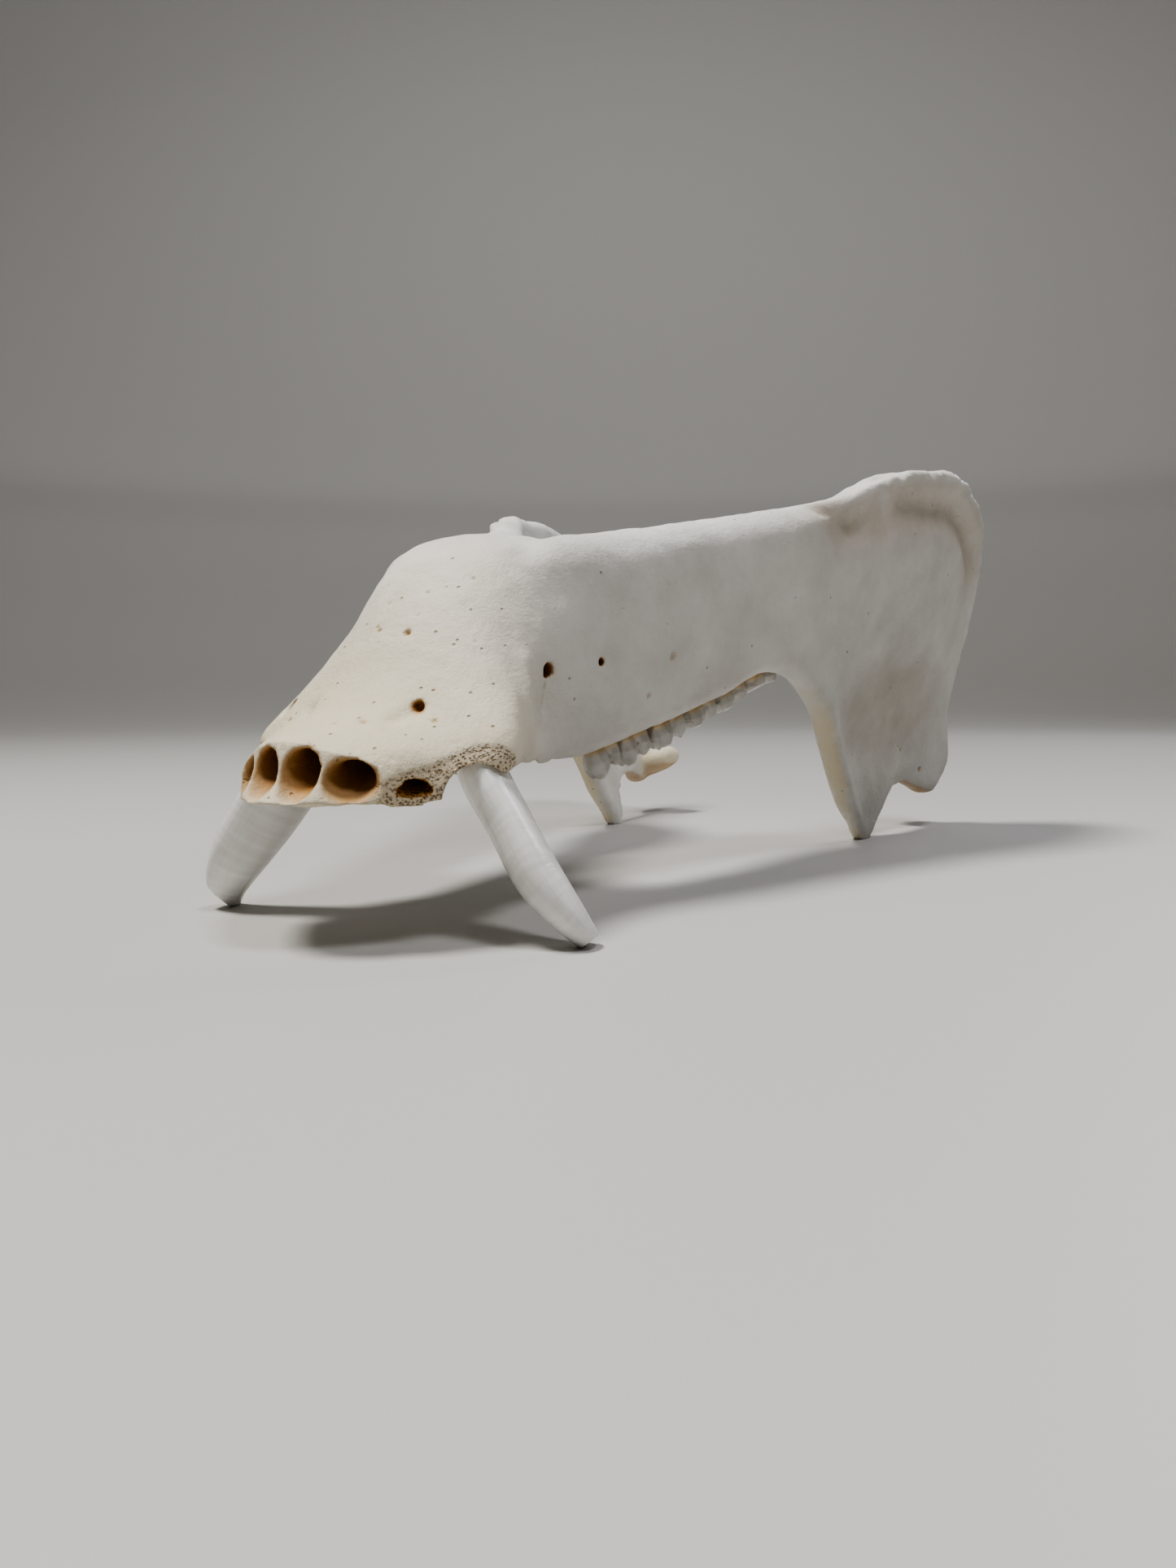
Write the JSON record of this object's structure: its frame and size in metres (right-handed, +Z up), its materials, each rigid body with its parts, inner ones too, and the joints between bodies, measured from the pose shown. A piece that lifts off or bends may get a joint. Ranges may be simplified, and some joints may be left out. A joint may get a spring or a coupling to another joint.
{
  "type": "wild boar lower jaw",
  "caption": "Bleached lower jaw of a wild boar with tusks and cheek teeth, standing upside down on its tusk tips and coronoid processes.",
  "frame": {"origin": "middle of the bounding box on the surface that the jaw stands on", "axes": "+Y from the chin to the joint ends, +Z up as it stands upside down, +X the animal's right side"},
  "size_m": [0.1704, 0.3018, 0.1243],
  "materials": {
    "bone": "matt, finely pored bleached bone",
    "tusk": "glossy white enamel and dentine",
    "tooth": "satin grey white enamel"
  },
  "bodies": {
    "root": {"jaw_bone": "bone", "tusk_right": "tusk", "tusk_left": "tusk", "premolar_2_right": "tooth", "premolar_2_left": "tooth", "premolar_3_right": "tooth", "premolar_3_left": "tooth", "premolar_4_right": "tooth", "premolar_4_left": "tooth", "molar_1_right": "tooth", "molar_1_left": "tooth", "molar_2_right": "tooth", "molar_2_left": "tooth", "molar_3_right": "tooth", "molar_3_left": "tooth"}
  },
  "joints": []
}
